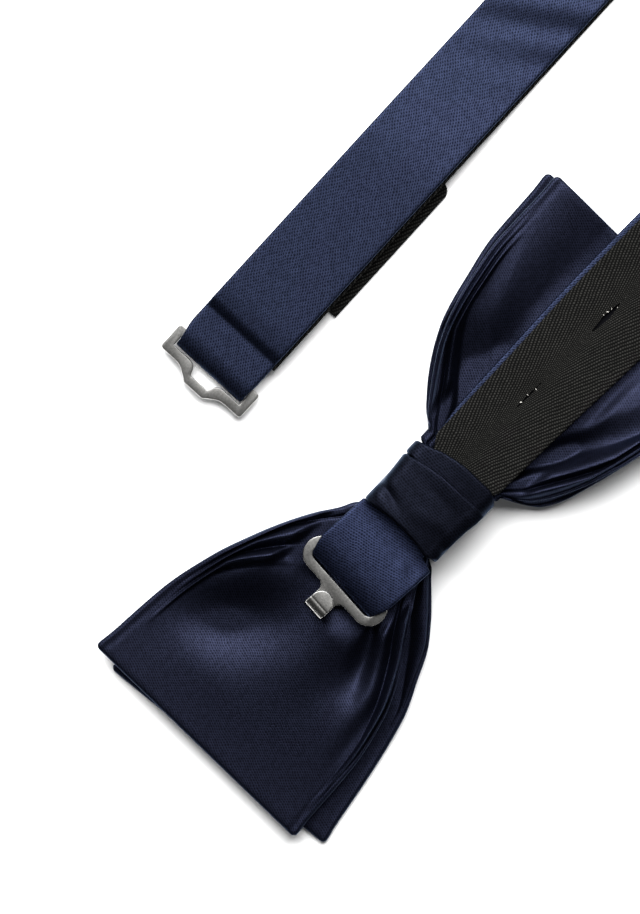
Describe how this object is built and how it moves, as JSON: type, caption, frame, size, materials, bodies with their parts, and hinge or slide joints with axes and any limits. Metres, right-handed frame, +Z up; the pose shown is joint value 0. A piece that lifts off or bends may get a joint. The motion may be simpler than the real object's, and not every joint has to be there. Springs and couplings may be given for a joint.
{
  "type": "batwing bow tie",
  "caption": "Pre-tied navy satin batwing bow tie, lying on its front, with a knot wrap, a slotted tape neckband, and a steel hook and eye.",
  "frame": {"origin": "middle of the knot's front face, on the surface that the bow tie lies on", "axes": "+X along the bow, from the wing under the hook to the wing that the neckband crosses; +Y from the bow towards the returning end of the neckband; +Z up out of the bow's back"},
  "size_m": [0.2371, 0.0916, 0.0199],
  "materials": {
    "navy_satin": "satin",
    "black_tape": "matte",
    "nickel_steel": "satin"
  },
  "bodies": {
    "root": {"back_leaf": "navy_satin", "front_leaf": "navy_satin", "knot_wrap": "navy_satin", "hook_tab": "navy_satin", "hook_plate": "nickel_steel", "neckband_satin": "navy_satin", "neckband_tape": "black_tape", "backing_tab": "black_tape", "eye_plate": "nickel_steel"}
  },
  "joints": []
}
